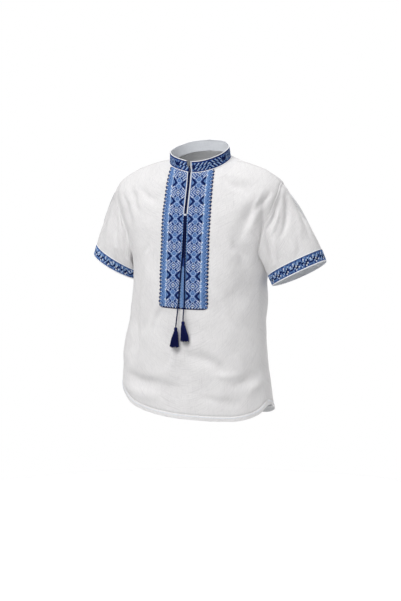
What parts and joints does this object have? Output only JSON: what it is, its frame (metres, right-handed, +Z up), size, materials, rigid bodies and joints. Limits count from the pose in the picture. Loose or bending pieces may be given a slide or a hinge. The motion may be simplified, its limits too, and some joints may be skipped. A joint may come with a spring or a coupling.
{
  "type": "folk shirt",
  "caption": "Short-sleeved folk shirt with an embroidered stand collar, an open front slit in an embroidered plastron, embroidered cuff bands and tasselled cords.",
  "frame": {"origin": "middle of the base of the neck, at the height of the side neck points, where the wearer holds the shirt", "axes": "-Y towards the front, +X towards the wearer's left, +Z up along the body"},
  "size_m": [0.6662, 0.2574, 0.732],
  "materials": {
    "white_cloth": "matt plain weave with fine slubs",
    "white_piping": "matt narrow piping",
    "embroidered_band": "close embroidery in navy and blue",
    "embroidered_plastron": "close embroidery in navy, blue and pale blue",
    "navy_cord": "matt twisted cord",
    "navy_tassel": "soft matt yarn"
  },
  "bodies": {
    "root": {"front": "white_cloth", "back": "white_cloth", "sleeve_left": "white_cloth", "sleeve_right": "white_cloth", "collar": "embroidered_band", "collar_piping": "white_piping", "cuff_left": "embroidered_band", "cuff_right": "embroidered_band", "plastron_left": "embroidered_plastron", "plastron_right": "embroidered_plastron", "slit_piping_left": "white_piping", "slit_piping_right": "white_piping", "keeper": "white_piping", "cord_left": "navy_cord", "cord_right": "navy_cord", "tassel_left": "navy_tassel", "tassel_right": "navy_tassel"}
  },
  "joints": []
}
